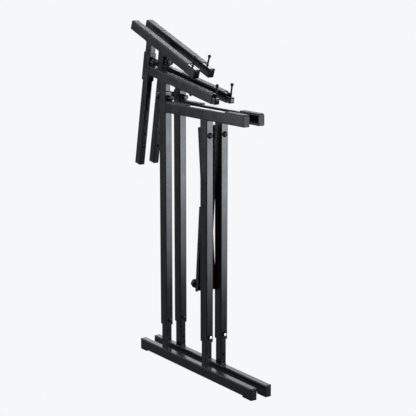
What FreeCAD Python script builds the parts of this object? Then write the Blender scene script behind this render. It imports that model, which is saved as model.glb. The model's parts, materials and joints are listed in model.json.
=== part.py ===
"""Folding keyboard stand with three tiers, modelled folded flat as it is stored.

Two slim side frames stand side by side, each a foot with two telescoping
uprights.  A two-piece cross-beam hangs between them and swings out flat when
the frames are pulled apart.  A second and a third tier of arms plug into each
other behind.  Millimetres: +X from the left frame to the right one, +Y to the
rear, +Z up, with the origin on the floor under the middle of the folded stand.
"""
import FreeCAD, Part
import math
import os

from FreeCAD import Vector

# ---------------------------------------------------------------- dimensions
# Side frames
frame_pitch = 50.0            # left frame to right frame, centre to centre
tube_corner = 2.5             # outer corner radius of every rectangular tube
running_gap = 0.3             # clear space between faces that move past each other
seat_gap = 0.05               # a bolt shank in its hole, on the radius

# Foot
foot_length = 560.0
foot_width = 20.0
foot_height = 30.0
foot_wall = 1.5
sole_height = 3.0             # the end caps hold the foot tube this far off the floor
cap_face = 4.0                # thickness of an end cap outside the tube
cap_corner = 3.0
front_sole_length = 40.0
rear_sole_length = 35.0

# Telescoping uprights: the outer tube slides on the inner post
outer_width = 23.0
outer_depth = 32.0
outer_wall = 1.5
inner_width = 18.0
inner_depth = 27.0
inner_wall = 1.5
front_upright_y = -57.0
rear_upright_y = 148.0
upright_bottom = 112.0
rear_upright_top = 803.0
inner_post_top = 440.0
guide_length = 26.0
guide_flange = 2.0
hole_radius = 3.2
leg_hole_pitch = 60.0
leg_holes_below = 1           # adjustment holes under the one in use
leg_holes_above = 4

# Plungers that lock the legs
plunger_height = 125.0
plunger_neck_radius = 3.0
plunger_neck_length = 3.0
plunger_head_radius = 5.5
plunger_head_length = 5.0
second_plunger_neck_length = 9.0
second_plunger_head_radius = 7.5
second_plunger_head_length = 9.0

# First tier
arm_width = 20.0
lower_arm_height = 30.0
lower_arm_wall = 1.5
lower_arm_underside = 744.0
lower_arm_front_y = -238.0
plug_flange = 3.0
plug_depth = 14.0
plug_clearance = 0.2
plug_wall = 2.0
lower_pad_thickness = 3.0
front_pad_length = 82.0
front_pad_inset = 3.0
rear_pad_length = 98.0
pad_side_inset = 1.0

# Second and third tier: the same arm on a post, leaning further each time
tier_arm_height = 27.0
tier_arm_wall = 1.5
tier_arm_rise = 9.8           # degrees between an arm and the square to its post
tier_arm_reach = 240.0        # front end of the arm to its post, along the arm
tier_pad_thickness = 1.5
second_arm_underside = 831.5  # height of the arm's underside over its post
second_post_bottom = 545.0
sleeve_tilt = 10.7            # degrees that the sleeve leans forward
sleeve_reach = 91.0           # post to sleeve along the second arm
sleeve_above = 62.5
sleeve_below = 20.0
second_pad_front = 17.0
second_pad_rear = 224.0
third_arm_above = 91.0        # second arm to third arm along the sleeve
third_post_below = 274.0
third_arm_tail = 99.0         # third arm behind its post
third_pad_front = 39.0
third_pad_joint = 258.0
pad_joint_gap = 1.5
second_hole_pitch = 40.0
second_hole_count = 4
third_first_hole = 52.0       # above the lower end of the post
third_hole_pitch = 40.0
third_hole_count = 4

# Sliding stops in the front ends of the upper arms
stop_width = 16.4
stop_height = 17.0
stop_length = 165.0
stop_nose = 20.0
stop_nose_corner = 4.0
stop_wall = 1.5
pin_radius = 2.5
pin_ball_radius = 4.8
pin_ball_height = 25.0        # ball centre above the arm's top face
pin_from_nose = 9.0
pin_seat_depth = 12.0
second_pin_at = -8.5          # along the arm from its front end
third_pin_at = 24.5
slot_width = 6.4
slot_length = 34.0
stop_screw_at = 110.0
stop_screw_radius = 4.5
stop_screw_drop = 8.0

# Clamp knobs
knob_radius = 11.5
knob_length = 13.0
knob_lobes = 5
knob_flute_radius = 4.2
knob_flute_centre = 13.7
knob_hub_radius = 7.0
knob_hub_length = 3.0
knob_edge = 1.6
knob_shank_radius = 4.0
nut_boss_radius = 7.0
nut_boss_length = 5.0
second_lock_below_top = 17.0  # clamp knob behind and plunger in front, under the rim
third_knob_above = 40.5       # along the sleeve above the second arm's underside

# Folding cross-beam
beam_pivot_height = 702.0
knuckle_height = 265.0
beam_thickness = 10.0
beam_outer_edge = 11.0        # pivot line to the edge that lies outside when folded
beam_inner_edge = 19.0
beam_wall = 1.5
beam_corner = 1.6
beam_top_tail = 20.0          # both halves above their pivots
left_beam_tail = 12.5         # below the knuckle
right_beam_tail = 20.0
ear_thickness = 3.0
ear_radius = 11.0
lock_hole_offset = 22.0       # knuckle to lock screw
lock_edge = 28.0
lock_depth = 11.0
lock_length = 245.0
lock_hole_radius = 2.9
bolt_radius = 4.0
bolt_cap_radius = 8.5
bolt_cap_length = 6.0
knuckle_head_radius = 6.5
knuckle_head_length = 4.8
nut_radius = 7.0
nut_length = 6.0
spacer_radius = 9.0
lock_knob_radius = 13.0
lock_shank_radius = 2.5


# ------------------------------------------------------------ shape helpers
def rectangle_wire(width, depth, radius):
    """A rectangle with round corners in the XY plane, centred on the origin."""
    x, y = width / 2, depth / 2
    diagonal = radius * (1 - math.sqrt(0.5))
    corners = [(x, y), (-x, y), (-x, -y), (x, -y)]
    edges = []
    points = []
    for cx, cy in corners:
        sx, sy = math.copysign(1, cx), math.copysign(1, cy)
        on_side = Vector(cx, cy - sy * radius, 0)
        on_end = Vector(cx - sx * radius, cy, 0)
        middle = Vector(cx - sx * diagonal, cy - sy * diagonal, 0)
        first, last = (on_side, on_end) if sx * sy > 0 else (on_end, on_side)
        edges.append(Part.Arc(first, middle, last).toShape())
        points.append((first, last))
    for index, (_, end) in enumerate(points):
        start_of_next = points[(index + 1) % 4][0]
        edges.append(Part.makeLine(end, start_of_next))
    return Part.Wire(Part.__sortEdges__(edges))


def block(width, depth, length):
    """A sharp-cornered bar from z = 0 up, centred on the Z axis."""
    return Part.makeBox(width, depth, length, Vector(-width / 2, -depth / 2, 0))


def bar(width, depth, length, radius):
    """A round-cornered bar from z = 0 up."""
    face = Part.Face(rectangle_wire(width, depth, radius))
    return face.extrude(Vector(0, 0, length))


def bored(shape, width, depth, length):
    """Takes a rectangular way through a shape that stands from z = 0 to length."""
    bore = block(width, depth, length + 2)
    bore.translate(Vector(0, 0, -1))
    return shape.cut(bore)


def tube(width, depth, wall, length, radius=tube_corner):
    """A rectangular tube from z = 0 up, open at both ends."""
    outside = bar(width, depth, length, radius)
    return bored(outside, width - 2 * wall, depth - 2 * wall, length)


def plug_stem(width, depth, wall):
    """The hollow square part of a plug that goes into a tube of this outer size."""
    less = 2 * (wall + plug_clearance)
    outside = block(width - less, depth - less, plug_depth)
    return bored(outside, width - less - 2 * plug_wall, depth - less - 2 * plug_wall, plug_depth)


def lay_back(shape, height):
    """Turns a shape built up +Z to run along +Y, resting on z = 0."""
    shape.rotate(Vector(0, 0, 0), Vector(1, 0, 0), -90)
    shape.translate(Vector(0, 0, height / 2))
    return shape


def rod(radius, start, direction, length):
    return Part.makeCylinder(radius, length, start, direction)


def domed_disc(radius, start, direction, length):
    """A round head that narrows to its face in two steps."""
    side = rod(radius, start, direction, 0.5 * length)
    shoulder = Part.makeCone(radius, 0.8 * radius, 0.3 * length,
                             start + direction * (0.5 * length), direction)
    face = Part.makeCone(0.8 * radius, 0.4 * radius, 0.2 * length,
                         start + direction * (0.8 * length), direction)
    return side.fuse([shoulder, face])


def box_between(low, high):
    size = high - low
    return Part.makeBox(size.x, size.y, size.z, low)


def placed(shape, y, z, pitch=0.0):
    """Turns a shape about the X axis by pitch, rear end up, and moves it."""
    result = shape.copy()
    result.rotate(Vector(0, 0, 0), Vector(1, 0, 0), pitch)
    result.translate(Vector(0, y, z))
    return result


def along(pitch):
    """Unit vector to the rear along an arm that rises by pitch."""
    angle = math.radians(pitch)
    return Vector(0, math.cos(angle), math.sin(angle))


def square_to(pitch):
    """Unit vector up from the top face of an arm that rises by pitch."""
    angle = math.radians(pitch)
    return Vector(0, -math.sin(angle), math.cos(angle))


def with_front_holes(shape, depth, heights, radius=hole_radius):
    """Drills the front wall of an upright tube, whose axis is the Z axis."""
    drills = [rod(radius, Vector(0, -depth / 2 - 1, z), Vector(0, 1, 0), depth / 2)
              for z in heights]
    return shape.cut(drills)


# -------------------------------------------------------------------- foot
def foot_tube():
    length = foot_length - 2 * cap_face
    foot = lay_back(tube(foot_width, foot_height, foot_wall, length), foot_height)
    return placed(foot, -length / 2, sole_height)


def foot_cap(sole_length):
    """A moulded plug for the front end of the foot, with the sole under the tube."""
    height = sole_height + foot_height
    face = Part.makeBox(foot_width, cap_face, height, Vector(-foot_width / 2, 0, 0))
    nose = [edge for edge in face.Edges
            if edge.BoundBox.YMax < 0.01 and edge.BoundBox.ZMax > 0.01]
    face = face.makeFillet(cap_corner, nose)
    sole = Part.makeBox(foot_width, sole_length - cap_face, sole_height,
                        Vector(-foot_width / 2, cap_face, 0))
    stem = lay_back(plug_stem(foot_width, foot_height, foot_wall), foot_height)
    stem.translate(Vector(0, cap_face, sole_height))
    return face.fuse([sole, stem]).removeSplitter()


def foot_caps():
    front = foot_cap(front_sole_length)
    front.translate(Vector(0, -foot_length / 2, 0))
    rear = foot_cap(rear_sole_length)
    rear.rotate(Vector(0, 0, 0), Vector(0, 0, 1), 180)
    rear.translate(Vector(0, foot_length / 2, 0))
    return Part.makeCompound([front, rear])


# ---------------------------------------------------------------- uprights
def inner_post(y):
    bottom = sole_height + foot_height
    post = tube(inner_width, inner_depth, inner_wall, inner_post_top - bottom)
    steps = range(-leg_holes_below, leg_holes_above + 1)
    heights = [plunger_height - bottom + leg_hole_pitch * i for i in steps]
    return placed(with_front_holes(post, inner_depth, heights), y, bottom)


def outer_upright(y, top):
    upright = tube(outer_width, outer_depth, outer_wall, top - upright_bottom)
    plunger_hole = [plunger_height - upright_bottom]
    upright = with_front_holes(upright, outer_depth, plunger_hole, plunger_neck_radius + running_gap)
    return placed(upright, y, upright_bottom)


def front_upright():
    upright = outer_upright(front_upright_y, lower_arm_underside)
    start = Vector(0, front_upright_y - outer_depth, beam_pivot_height)
    return upright.cut(rod(bolt_radius + seat_gap, start, Vector(0, 1, 0), 2 * outer_depth))


def locking_boss(y, z, direction, bore_radius):
    """A welded boss on a tube wall at y, and the bore through the boss and the wall."""
    ahead = Vector(0, direction, 0)
    centre = Vector(0, y, z)
    boss = rod(nut_boss_radius, centre, ahead, nut_boss_length)
    bore = rod(bore_radius, centre - ahead * (outer_wall + 1), ahead,
               nut_boss_length + outer_wall + 2)
    return boss, bore


def rear_upright():
    """The long upright, with the bosses of the second tier's clamp knob and plunger."""
    upright = outer_upright(rear_upright_y, rear_upright_top)
    back = rear_upright_y + outer_depth / 2
    front = rear_upright_y - outer_depth / 2
    knob_boss, knob_bore = locking_boss(back, second_lock_height, 1, knob_shank_radius + seat_gap)
    boss, bore = locking_boss(front, second_lock_height, -1, plunger_neck_radius + running_gap)
    return upright.fuse([knob_boss, boss]).cut([knob_bore, bore])


def tube_guide():
    """A plastic sleeve that lines the lower end of an outer tube, flange down."""
    flange = bar(outer_width, outer_depth, guide_flange, tube_corner)
    lining = block(outer_width - 2 * outer_wall, outer_depth - 2 * outer_wall,
                   guide_flange + guide_length)
    guide = bored(flange.fuse(lining), inner_width + 2 * running_gap,
                  inner_depth + 2 * running_gap, guide_flange + guide_length)
    guide.translate(Vector(0, 0, -guide_flange))
    return guide


def frame_inserts():
    """The moulded pieces of a frame: a guide in each tube end and the arm's end plug."""
    leg_guide = tube_guide()
    opening_start = Vector(0, -outer_depth, plunger_height - upright_bottom)
    opening = rod(plunger_neck_radius + running_gap, opening_start, Vector(0, 1, 0), outer_depth)
    leg_guide = leg_guide.cut(opening)
    pieces = [placed(leg_guide, y, upright_bottom) for y in (front_upright_y, rear_upright_y)]
    top_guide = tube_guide()
    top_guide.rotate(Vector(0, 0, 0), Vector(0, 1, 0), 180)
    top_guide = placed(top_guide, rear_upright_y, rear_upright_top)
    across = Vector(0, outer_depth, 0)
    shank_way = rod(knob_shank_radius + running_gap,
                    Vector(0, rear_upright_y, second_lock_height) - across, Vector(0, 1, 0),
                    2 * outer_depth)
    pieces.append(top_guide.cut(shank_way))
    plug = end_plug(lower_arm_height, lower_arm_wall)
    pieces.append(placed(plug, lower_arm_front_y, lower_arm_underside))
    return Part.makeCompound(pieces)


def plunger(neck_length, head_radius, head_length):
    """A pull knob through a front wall: tip, neck and domed head, about the Y axis."""
    reach = (outer_depth - inner_depth) / 2 - running_gap
    tip = -inner_depth / 2 - running_gap
    neck_end = tip - reach - neck_length
    neck = rod(plunger_neck_radius, Vector(0, tip, 0), Vector(0, -1, 0), tip - neck_end)
    head = domed_disc(head_radius, Vector(0, neck_end, 0), Vector(0, -1, 0), head_length)
    return neck.fuse(head)


def leg_plunger(y):
    head = plunger(plunger_neck_length, plunger_head_radius, plunger_head_length)
    return placed(head, y, plunger_height)


def second_plunger():
    head = plunger(second_plunger_neck_length, second_plunger_head_radius,
                   second_plunger_head_length)
    return placed(head, rear_upright_y, second_lock_height)


# -------------------------------------------------------------- first tier
def end_plug(height, wall):
    """A plastic plug for the front end of an arm; its face is at y = 0."""
    flange = lay_back(bar(arm_width, height, plug_flange, tube_corner), height)
    edges = [edge for edge in flange.Edges if edge.BoundBox.YMax < 0.01]
    flange = flange.makeChamfer(0.8, edges)
    stem = lay_back(plug_stem(arm_width, height, wall), height)
    stem.translate(Vector(0, plug_flange, 0))
    return flange.fuse(stem)


def lower_arm():
    start = lower_arm_front_y + plug_flange
    end = rear_upright_y - outer_depth / 2
    arm = lay_back(tube(arm_width, lower_arm_height, lower_arm_wall, end - start), lower_arm_height)
    return placed(arm, start, lower_arm_underside)


def top_pad(length, thickness):
    """A rubber strip that lies on an arm from y = 0 to the rear."""
    width = arm_width - 2 * pad_side_inset
    pad = Part.makeBox(width, length, thickness, Vector(-width / 2, 0, 0))
    upper = [edge for edge in pad.Edges if edge.BoundBox.ZMin > thickness - 0.01]
    return pad.makeFillet(min(1.0, thickness * 0.6), upper)


def lower_arm_pads():
    top = lower_arm_underside + lower_arm_height
    rear_end = rear_upright_y - outer_depth / 2
    front = placed(top_pad(front_pad_length, lower_pad_thickness),
                   lower_arm_front_y + front_pad_inset, top)
    rear = placed(top_pad(rear_pad_length, lower_pad_thickness), rear_end - rear_pad_length, top)
    return Part.makeCompound([front, rear])


# ------------------------------------------------------------- upper tiers
class Tier:
    """Where an upper tier's post crosses the underside of its arm, and how both lean."""

    def __init__(self, crossing, post_tilt):
        self.crossing = crossing
        self.post_tilt = post_tilt
        self.pitch = post_tilt + tier_arm_rise
        self.front = crossing - along(self.pitch) * tier_arm_reach

    def on_arm(self, shape, at=0.0, above=0.0):
        """Places a shape built along +Y, at mm from the arm's front end."""
        spot = self.front + along(self.pitch) * at + square_to(self.pitch) * above
        return placed(shape, spot.y, spot.z, self.pitch)

    def on_post(self, shape, at=0.0):
        """Places a shape built up +Z, at mm up the post from the crossing."""
        spot = self.crossing + square_to(self.post_tilt) * at
        return placed(shape, spot.y, spot.z, self.post_tilt)


second_lock_height = rear_upright_top - second_lock_below_top
second = Tier(Vector(0, rear_upright_y, second_arm_underside), 0.0)
sleeve_crossing = second.crossing + along(second.pitch) * sleeve_reach
third = Tier(sleeve_crossing + square_to(sleeve_tilt) * third_arm_above, sleeve_tilt)
sleeve_axis = Tier(sleeve_crossing, sleeve_tilt)


def tier_arm(tier, length):
    """An arm with an open front end and a slot for its stop's pin."""
    arm = lay_back(tube(arm_width, tier_arm_height, tier_arm_wall, length), tier_arm_height)
    slot = box_between(Vector(-slot_width / 2, -1, tier_arm_height / 2),
                       Vector(slot_width / 2, slot_length, tier_arm_height + 1))
    slot_end = rod(slot_width / 2, Vector(0, slot_length, tier_arm_height / 2),
                   Vector(0, 0, 1), tier_arm_height)
    return tier.on_arm(arm.cut([slot, slot_end]))


def second_arm():
    """Runs back to the sleeve, and carries the screw that holds its stop."""
    to_sleeve = tier_arm_reach + sleeve_reach + outer_depth
    arm = tier_arm(second, to_sleeve)
    behind = box_between(Vector(-arm_width, -outer_depth / 2, -300), Vector(arm_width, 300, 300))
    arm = arm.cut(sleeve_axis.on_post(behind))
    screw = domed_disc(stop_screw_radius, Vector(0, stop_screw_at, 0), Vector(0, 0, -1),
                       stop_screw_drop)
    return arm.fuse(second.on_arm(screw))


def tier_post(tier, below, holes):
    """A post welded to the underside of its arm, drilled in front."""
    post = tube(inner_width, inner_depth, inner_wall, below + tier_arm_height)
    post = with_front_holes(post, inner_depth, holes)
    post = tier.on_post(post, -below)
    reach = 2 * tier_arm_reach
    arm_space = box_between(Vector(-reach, -reach, 0), Vector(reach, 2 * reach, reach))
    return post.cut(tier.on_arm(arm_space))


def second_post():
    below = second_arm_underside - second_post_bottom
    holes = [second_hole_pitch * (i + 1) for i in range(second_hole_count)]
    return tier_post(second, below, holes)


def third_post():
    below = third_post_below + third_arm_above
    holes = [third_first_hole + third_hole_pitch * i for i in range(third_hole_count)]
    return tier_post(third, below, holes)


def second_sleeve():
    """The leaning socket for the third tier, with the welded nut of its clamp knob."""
    length = sleeve_below + sleeve_above
    sleeve = bored(bar(outer_width, outer_depth, length, tube_corner),
                   inner_width + 2 * running_gap, inner_depth + 2 * running_gap, length)
    at = sleeve_below + third_knob_above
    face = -outer_depth / 2
    boss, bore = locking_boss(face, at, -1, knob_shank_radius + seat_gap)
    sleeve = sleeve.fuse(boss).cut(bore)
    return sleeve_axis.on_post(sleeve, -sleeve_below)


def second_pad():
    pad = top_pad(second_pad_rear - second_pad_front, tier_pad_thickness)
    return second.on_arm(pad, second_pad_front, tier_arm_height)


def third_pads():
    front = top_pad(third_pad_joint - third_pad_front, tier_pad_thickness)
    rear_start = third_pad_joint + pad_joint_gap
    rear = top_pad(tier_arm_reach + third_arm_tail - rear_start, tier_pad_thickness)
    return Part.makeCompound([third.on_arm(front, third_pad_front, tier_arm_height),
                              third.on_arm(rear, rear_start, tier_arm_height)])


def third_plugs():
    """Plastic plugs in the arm's rear end and in the post's lower end."""
    arm_plug = end_plug(tier_arm_height, tier_arm_wall)
    arm_plug.rotate(Vector(0, 0, 0), Vector(0, 0, 1), 180)
    arm_end = tier_arm_reach + third_arm_tail + plug_flange
    post_end = third_post_below + third_arm_above
    flange = bar(inner_width, inner_depth, plug_flange, tube_corner)
    stem = plug_stem(inner_width, inner_depth, inner_wall)
    stem.translate(Vector(0, 0, plug_flange))
    post_plug = flange.fuse(stem)
    return Part.makeCompound([third.on_arm(arm_plug, arm_end),
                              third.on_post(post_plug, -post_end - plug_flange)])


def sliding_stop(tier, pin_at):
    """A slim tube with a solid rounded nose, low in the mouth of the arm."""
    rear_length = stop_length - stop_nose
    nose = lay_back(bar(stop_width, stop_height, stop_nose, tube_corner - 1), stop_height)
    front = [edge for edge in nose.Edges if edge.BoundBox.YMax < 0.01
             and edge.BoundBox.XLength < 0.01]
    nose = nose.makeFillet(stop_nose_corner, front)
    tail = lay_back(tube(stop_width, stop_height, stop_wall, rear_length, tube_corner - 1), stop_height)
    tail.translate(Vector(0, stop_nose, 0))
    stop = nose.fuse(tail).removeSplitter()
    seat = rod(pin_radius + seat_gap, Vector(0, pin_from_nose, stop_height - pin_seat_depth),
               Vector(0, 0, 1), stop_height)
    return tier.on_arm(stop.cut(seat), pin_at - pin_from_nose, tier_arm_wall + running_gap)


def retaining_pin(tier, pin_at):
    """An upright rod with a ball on top that keeps the keyboard from sliding off."""
    floor = tier_arm_wall + running_gap + stop_height - pin_seat_depth
    ball_at = tier_arm_height + tier_pad_thickness + pin_ball_height
    pin = rod(pin_radius, Vector(0, 0, floor), Vector(0, 0, 1), ball_at - floor)
    ball = Part.makeSphere(pin_ball_radius, Vector(0, 0, ball_at))
    return tier.on_arm(pin.fuse(ball), pin_at)


# ------------------------------------------------------------------- knobs
def knob(radius, shank_radius, shank_length):
    """A lobed grip on a hub, turning about +Y, with its shank towards -Y from y = 0."""
    start = Vector(0, knob_hub_length, 0)
    grip = rod(radius, start, Vector(0, 1, 0), knob_length)
    far = knob_hub_length + knob_length
    rim = [edge for edge in grip.Edges if edge.BoundBox.YMin > far - 0.01]
    grip = grip.makeChamfer(knob_edge, rim)
    ratio = radius / knob_radius
    flutes = []
    for i in range(knob_lobes):
        angle = 2 * math.pi * i / knob_lobes
        centre = Vector(math.cos(angle), 0, math.sin(angle)) * (knob_flute_centre * ratio)
        flutes.append(rod(knob_flute_radius * ratio, start + centre - Vector(0, 1, 0),
                          Vector(0, 1, 0), knob_length + 2))
    grip = grip.cut(flutes)
    hub = rod(knob_hub_radius, Vector(0, 0, 0), Vector(0, 1, 0), knob_hub_length)
    shank = rod(shank_radius, Vector(0, -shank_length, 0), Vector(0, 1, 0), shank_length)
    return grip.fuse([hub, shank]).removeSplitter()


def clamp_shank():
    """The boss and the space up to the post inside, less a running gap."""
    return nut_boss_length + (outer_depth - inner_depth) / 2


def second_knob():
    grip = knob(knob_radius, knob_shank_radius, clamp_shank())
    back = rear_upright_y + outer_depth / 2 + nut_boss_length + running_gap
    return placed(grip, back, second_lock_height)


def third_knob():
    grip = knob(knob_radius, knob_shank_radius, clamp_shank())
    grip.rotate(Vector(0, 0, 0), Vector(0, 0, 1), 180)
    grip.translate(Vector(0, -outer_depth / 2 - nut_boss_length - running_gap, 0))
    return sleeve_axis.on_post(grip, third_knob_above)


# -------------------------------------------------------------- cross-beam
beam_length = math.hypot(frame_pitch / 2, beam_pivot_height - knuckle_height)
beam_lean = math.degrees(math.atan2(frame_pitch / 2, beam_pivot_height - knuckle_height))
upright_back = front_upright_y + outer_depth / 2
left_beam_y = upright_back + running_gap
ear_y = left_beam_y + beam_thickness
right_beam_y = ear_y + ear_thickness + running_gap
lock_y = right_beam_y + beam_thickness
pivot_hole = bolt_radius + seat_gap


def beam_tube(side, y, tail):
    """Half of the cross-beam, hanging from its pivot at the origin."""
    width = beam_outer_edge + beam_inner_edge
    length = beam_top_tail + beam_length + tail
    half = tube(width, beam_thickness, beam_wall, length, beam_corner)
    shift = side * (beam_inner_edge - width / 2)
    half.translate(Vector(-shift, y + beam_thickness / 2, -beam_length - tail))
    return half


def hung(shape, side):
    """Leans a beam that hangs from the origin in towards the knuckle and hangs it up."""
    result = shape.copy()
    result.rotate(Vector(0, 0, 0), Vector(0, 1, 0), side * beam_lean)
    result.translate(Vector(side * frame_pitch / 2, 0, beam_pivot_height))
    return result


def pivot_drills(y, depth):
    return [rod(pivot_hole, Vector(0, y - 1, z), Vector(0, 1, 0), depth + 2)
            for z in (0.0, -beam_length)]


def left_beam():
    """The front half, with the ear that the lock screw holds when it is unfolded."""
    half = beam_tube(-1, left_beam_y, left_beam_tail)
    ear = bar(lock_hole_offset, 2 * ear_radius, ear_thickness, 0.5)
    ear.rotate(Vector(0, 0, 0), Vector(1, 0, 0), -90)
    ear.translate(Vector(lock_hole_offset / 2, ear_y, -beam_length))
    for x in (0.0, lock_hole_offset):
        ear = ear.fuse(rod(ear_radius, Vector(x, ear_y, -beam_length), Vector(0, 1, 0), ear_thickness))
    lock_hole = rod(lock_hole_radius, Vector(lock_hole_offset, ear_y - 1, -beam_length),
                    Vector(0, 1, 0), ear_thickness + 2)
    drills = pivot_drills(left_beam_y, beam_thickness + ear_thickness)
    return hung(half.fuse(ear).removeSplitter().cut(drills + [lock_hole]), -1)


def right_beam():
    half = beam_tube(1, right_beam_y, right_beam_tail)
    return hung(half.cut(pivot_drills(right_beam_y, beam_thickness)), 1)


def lock_channel():
    """A long U-shaped stiffener, open towards the rear half, that carries the lock screw."""
    low = Vector(-lock_edge, lock_y, -beam_length - right_beam_tail)
    high = Vector(beam_outer_edge, lock_y + lock_depth, low.z + lock_length)
    inside = box_between(low + Vector(beam_wall, -1, -1), high + Vector(-beam_wall, -beam_wall, 1))
    channel = box_between(low, high).cut(inside)
    bolt_hole = rod(pivot_hole, Vector(0, lock_y - 1, -beam_length), Vector(0, 1, 0), lock_depth + 2)
    screw_hole = rod(lock_hole_radius, Vector(-lock_hole_offset, lock_y - 1, -beam_length),
                     Vector(0, 1, 0), lock_depth + 2)
    return hung(channel.cut([bolt_hole, screw_hole]), 1)


def hex_nut(y):
    """A nut about the Y axis, from y to the rear."""
    points = [Vector(nut_radius * math.cos(math.radians(a)), y, nut_radius * math.sin(math.radians(a)))
              for a in range(30, 391, 60)]
    nut = Part.Face(Part.makePolygon(points)).extrude(Vector(0, nut_length, 0))
    return nut


def beam_bolt(side):
    """The pivot bolt through a front upright; the right one carries a spacer."""
    face = front_upright_y - outer_depth / 2
    beam_y = left_beam_y if side < 0 else right_beam_y
    nut_y = beam_y + beam_thickness + running_gap
    shank = rod(bolt_radius, Vector(0, face, 0), Vector(0, 1, 0), nut_y - face)
    cap = domed_disc(bolt_cap_radius, Vector(0, face, 0), Vector(0, -1, 0), bolt_cap_length)
    bolt = cap.fuse([shank, hex_nut(nut_y)])
    if side > 0:
        spacer_length = beam_y - running_gap - upright_back
        spacer = rod(spacer_radius, Vector(0, upright_back, 0), Vector(0, 1, 0), spacer_length)
        bolt = bolt.fuse(spacer)
    return placed(bolt, 0, beam_pivot_height)


def knuckle_bolt():
    nut_y = lock_y + lock_depth + running_gap
    head = domed_disc(knuckle_head_radius, Vector(0, left_beam_y, 0), Vector(0, -1, 0),
                      knuckle_head_length)
    shank = rod(bolt_radius, Vector(0, left_beam_y, 0), Vector(0, 1, 0), nut_y - left_beam_y)
    bolt = head.fuse([shank, hex_nut(nut_y)])
    bolt.translate(Vector(0, 0, -beam_length))
    return hung(bolt, -1)


def beam_lock_knob():
    shank = lock_y + lock_depth + running_gap - (ear_y + ear_thickness + running_gap)
    grip = knob(lock_knob_radius, lock_shank_radius, shank)
    grip.translate(Vector(-lock_hole_offset, lock_y + lock_depth + running_gap, -beam_length))
    return hung(grip, 1)


# ---------------------------------------------------------------- assembly
def side_frame_pieces():
    """Every piece that both side frames have, for a frame in the plane x = 0."""
    arm_length = tier_arm_reach + third_arm_tail
    return {
        "foot": foot_tube(),
        "foot_caps": foot_caps(),
        "front_inner_post": inner_post(front_upright_y),
        "rear_inner_post": inner_post(rear_upright_y),
        "front_upright": front_upright(),
        "rear_upright": rear_upright(),
        "frame_inserts": frame_inserts(),
        "front_leg_plunger": leg_plunger(front_upright_y),
        "rear_leg_plunger": leg_plunger(rear_upright_y),
        "lower_arm": lower_arm(),
        "lower_arm_pads": lower_arm_pads(),
        "second_post": second_post(),
        "second_arm": second_arm(),
        "second_sleeve": second_sleeve(),
        "second_arm_pad": second_pad(),
        "second_stop": sliding_stop(second, second_pin_at),
        "second_stop_pin": retaining_pin(second, second_pin_at),
        "second_knob": second_knob(),
        "second_plunger": second_plunger(),
        "third_post": third_post(),
        "third_arm": tier_arm(third, arm_length),
        "third_arm_pads": third_pads(),
        "third_plugs": third_plugs(),
        "third_stop": sliding_stop(third, third_pin_at),
        "third_stop_pin": retaining_pin(third, third_pin_at),
        "third_knob": third_knob(),
    }


def all_pieces():
    pieces = {}
    for side, sign in (("left", -1), ("right", 1)):
        across = Vector(sign * frame_pitch / 2, 0, 0)
        shapes = side_frame_pieces()
        shapes["beam_bolt"] = beam_bolt(sign)
        for name, shape in shapes.items():
            shape.translate(across)
            pieces[f"{side}_{name}"] = shape
    pieces["left_beam"] = left_beam()
    pieces["right_beam"] = right_beam()
    pieces["beam_lock_channel"] = lock_channel()
    pieces["knuckle_bolt"] = knuckle_bolt()
    pieces["beam_lock_knob"] = beam_lock_knob()
    return pieces


def show(name, point):
    print(f"{name}: {point.x:.3f} {point.y:.3f} {point.z:.3f}")


def main():
    pieces = all_pieces()
    box = Part.makeCompound(list(pieces.values())).BoundBox
    to_origin = Vector(0, -box.Center.y, 0)
    os.makedirs("parts", exist_ok=True)
    for name, shape in pieces.items():
        shape.translate(to_origin)
        shape.exportStep(f"parts/{name}.step")
    side = Vector(frame_pitch / 2, 0, 0)
    show("moved by", to_origin)
    show("left beam pivot", Vector(0, left_beam_y, beam_pivot_height) - side + to_origin)
    show("knuckle", Vector(0, left_beam_y, knuckle_height) + to_origin)
    lock = Vector(-lock_hole_offset, lock_y, -beam_length)
    show("lock screw", hung(Part.Vertex(lock), 1).Point + to_origin)
    show("second arm direction", along(second.pitch))
    show("third arm direction", along(third.pitch))
    show("third post direction", square_to(third.post_tilt))
    show("second knob", Vector(0, rear_upright_y, second_lock_height) + to_origin)
    show("third knob", sleeve_axis.crossing + square_to(sleeve_tilt) * third_knob_above + to_origin)
    for tier, name in ((second, "second"), (third, "third")):
        pad = tier.front + along(tier.pitch) * tier_arm_reach / 2
        pad = pad + square_to(tier.pitch) * (tier_arm_height + tier_pad_thickness)
        show(f"{name} pad centre", pad + to_origin)
    size = box.DiagonalLength
    print(f"{len(pieces)} pieces, box {box.XLength:.1f} x {box.YLength:.1f} x {box.ZLength:.1f},"
          f" diagonal {size:.1f}")


main()
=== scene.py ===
# %% [markdown]
# # A folding keyboard stand, dressed for its photograph
#
# The stand is black powder-coated steel tube: two slim side frames, folded
# together until they stand 50 mm apart. The measured solids come packed as a
# fixed frame. This lesson gives them their finishes, and swaps the plain small
# pieces (rubber strips, knobs, plungers, pins, stops and bolts) for surfaces
# worked out with numpy. Scene lengths are metres. The pieces are drawn in
# millimetres and scaled once. +X runs from the left frame to the right one, +Y
# to the rear and +Z up.

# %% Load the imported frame
import json
import math

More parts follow.
